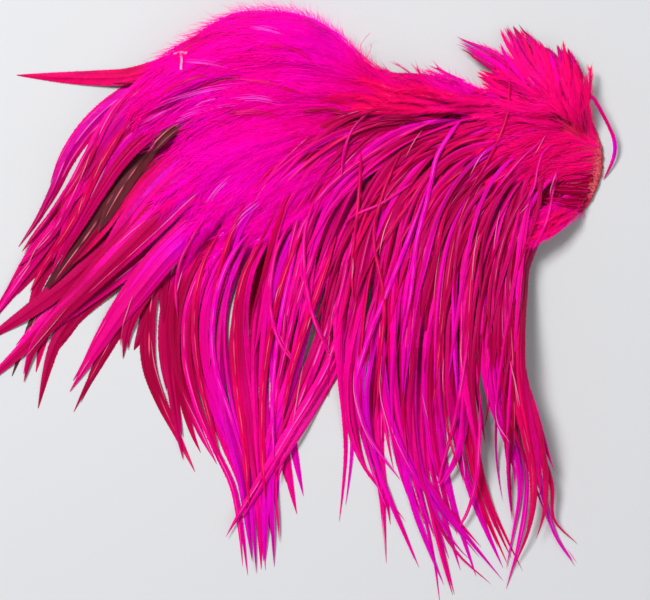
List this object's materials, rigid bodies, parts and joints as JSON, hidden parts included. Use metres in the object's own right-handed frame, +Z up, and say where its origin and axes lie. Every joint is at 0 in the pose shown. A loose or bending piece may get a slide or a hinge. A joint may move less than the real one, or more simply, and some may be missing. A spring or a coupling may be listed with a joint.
{
  "type": "rooster cape",
  "caption": "Dyed rooster saddle skin lying flat, feather side up: a small dried hide with long narrow hackles, broad spade feathers and fluffy down swept to one side.",
  "frame": {"origin": "a point on the flat underside of the hide, near the middle of the hide's length", "axes": "+Z up, out of the feather side; +X from the tail end of the hide to its cut head end; +Y towards the neck tuft, away from the hanging hackles"},
  "size_m": [0.3881, 0.3622, 0.0336],
  "materials": {
    "hide_skin": "dry, rough, dyed skin with a tan crust at the cut end",
    "magenta_feather": "silky, dyed hot pink",
    "crimson_feather": "silky, dyed crimson",
    "purple_feather": "silky, dyed magenta with a purple cast",
    "brown_feather": "silky, naturally dark feather that took little dye",
    "pink_down": "soft and matt, dyed hot pink"
  },
  "bodies": {
    "root": {"hide": "hide_skin", "flank_hackle_01": "crimson_feather", "flank_hackle_02": "magenta_feather", "flank_hackle_03": "crimson_feather", "spade_01": "crimson_feather", "spade_02": "magenta_feather", "spade_03": "crimson_feather", "spade_04": "magenta_feather", "spade_05": "magenta_feather", "spade_06": "brown_feather", "spade_07": "magenta_feather", "spade_08": "magenta_feather", "spade_09": "purple_feather", "spade_10": "magenta_feather", "spade_11": "magenta_feather", "spade_12": "magenta_feather", "spade_13": "magenta_feather", "spade_14": "crimson_feather", "spade_15": "magenta_feather", "flank_hackle_04": "magenta_feather", "flank_hackle_05": "purple_feather", "flank_hackle_06": "magenta_feather", "flank_hackle_07": "magenta_feather", "flank_hackle_08": "purple_feather", "flank_hackle_09": "magenta_feather", "flank_hackle_10": "magenta_feather", "flank_hackle_11": "magenta_feather", "flank_hackle_12": "magenta_feather", "saddle_hackle_01": "magenta_feather", "saddle_hackle_02": "magenta_feather", "saddle_hackle_03": "magenta_feather", "saddle_hackle_04": "purple_feather", "saddle_hackle_05": "magenta_feather", "saddle_hackle_06": "magenta_feather", "saddle_hackle_07": "magenta_feather", "saddle_hackle_08": "magenta_feather", "saddle_hackle_09": "magenta_feather", "saddle_hackle_10": "crimson_feather", "saddle_hackle_11": "purple_feather", "saddle_hackle_12": "purple_feather", "saddle_hackle_13": "magenta_feather", "saddle_hackle_14": "crimson_feather", "saddle_hackle_15": "crimson_feather", "saddle_hackle_16": "magenta_feather", "saddle_hackle_17": "magenta_feather", "saddle_hackle_18": "purple_feather", "saddle_hackle_19": "magenta_feather", "down_tail_1": "pink_down", "down_tail_2": "pink_down", "down_tail_3": "pink_down", "down_tail_4": "pink_down", "down_tail_5": "pink_down", "down_ridge": "pink_down", "neck_hackle_1": "crimson_feather", "neck_hackle_2": "magenta_feather", "neck_hackle_3": "magenta_feather", "neck_hackle_4": "magenta_feather", "neck_hackle_5": "magenta_feather", "down_corner": "pink_down", "loose_hackle": "purple_feather"}
  },
  "joints": []
}
